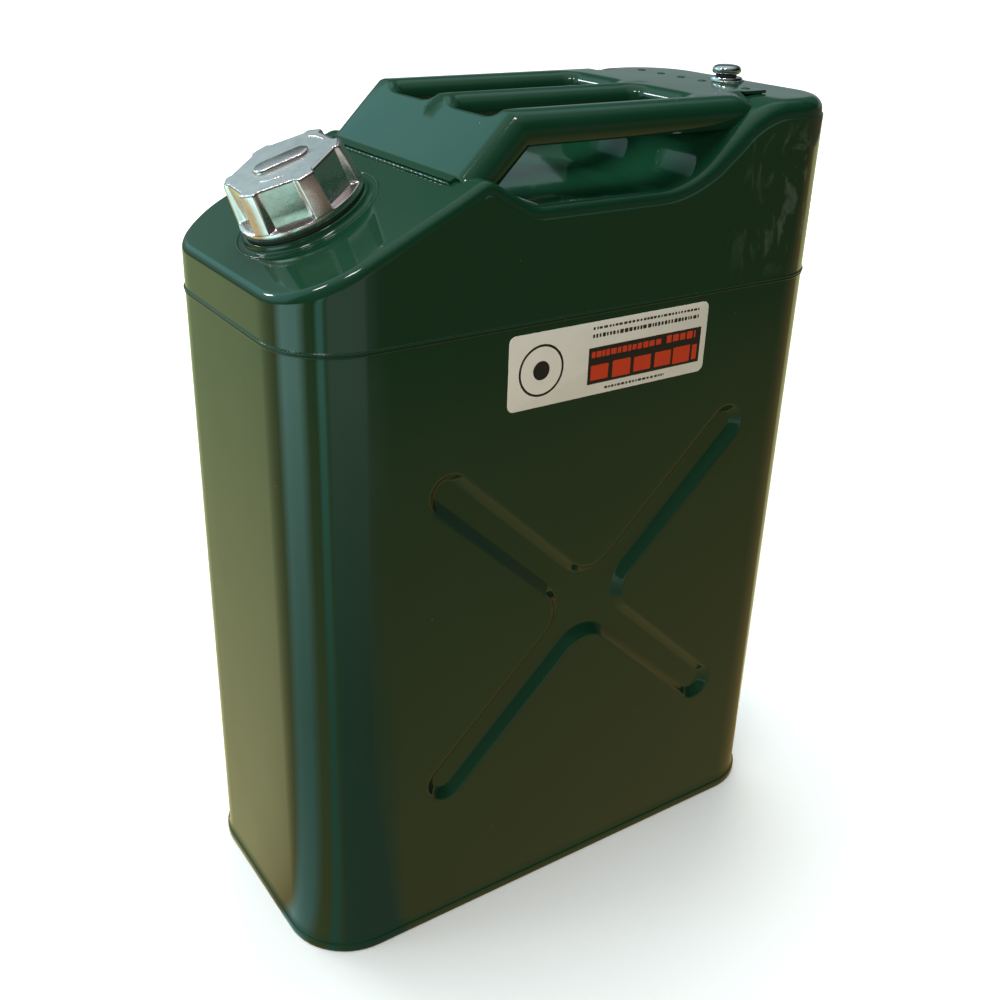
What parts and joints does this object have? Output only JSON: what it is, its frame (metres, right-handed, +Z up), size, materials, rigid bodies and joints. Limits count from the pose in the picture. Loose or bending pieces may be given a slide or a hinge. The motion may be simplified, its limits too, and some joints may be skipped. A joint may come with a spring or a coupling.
{
  "type": "fuel jerry can",
  "caption": "Upright pressed-steel fuel can with a tilted screw cap on a sloping shoulder, a three-bar pressed handle over a hand recess and an air vent screw.",
  "frame": {"origin": "centre of the base, on the surface that the can stands on", "axes": "+Z up; +X along the long side from the filler end to the vent end; +Y across the can"},
  "size_m": [0.348, 0.168, 0.4773],
  "materials": {
    "green_enamel": "high-gloss deep green baked enamel over pressed steel",
    "enamel_weld": "the same enamel over rippled weld bead",
    "zinc_steel": "zinc-plated turned steel",
    "cast_aluminium": "polished die-cast aluminium with a satin top",
    "bright_plating": "bright-plated turned steel",
    "black_rubber": "smooth black nitrile rubber",
    "label_vinyl": null
  },
  "bodies": {
    "can": {"lower_body": "green_enamel", "bottom_pan": "green_enamel", "body_seam_weld": "enamel_weld", "girth_weld": "enamel_weld", "upper_shell": "green_enamel", "handle": "green_enamel", "handle_foot_weld": "enamel_weld", "handle_rear_weld": "enamel_weld", "handle_spot_welds": "enamel_weld", "neck_collar": "green_enamel", "neck_weld": "enamel_weld", "filler_neck": "zinc_steel", "vent_boss": "zinc_steel", "vent_weld": "enamel_weld", "side_label": "label_vinyl"},
    "cap_seal": {"cap_packing": "black_rubber"},
    "cap": {"cap": "cast_aluminium"},
    "vent_seal": {"vent_packing": "black_rubber"},
    "vent_screw": {"vent_screw": "bright_plating"}
  },
  "joints": [
    {"name": "cap_lift", "type": "slide", "parent": "can", "child": "cap_seal", "axis": [-0.4305, 0, 0.9026], "range_m": [0, 0.07]},
    {"name": "cap_turn", "type": "hinge", "parent": "cap_seal", "child": "cap", "pos_m": [-0.1247, 0, 0.4162], "axis": [-0.4305, 0, 0.9026], "range_deg": [0, 900]},
    {"name": "vent_rise", "type": "slide", "parent": "can", "child": "vent_seal", "axis": [0, 0, 1], "range_m": [0, 0.002]},
    {"name": "vent_turn", "type": "hinge", "parent": "vent_seal", "child": "vent_screw", "pos_m": [0.153, 0, 0.4682], "axis": [0, 0, 1], "range_deg": [0, 720]}
  ],
  "couplings": [
    {"joint": "vent_turn", "follows": "vent_rise", "rad_per_m": 6283.2}
  ]
}
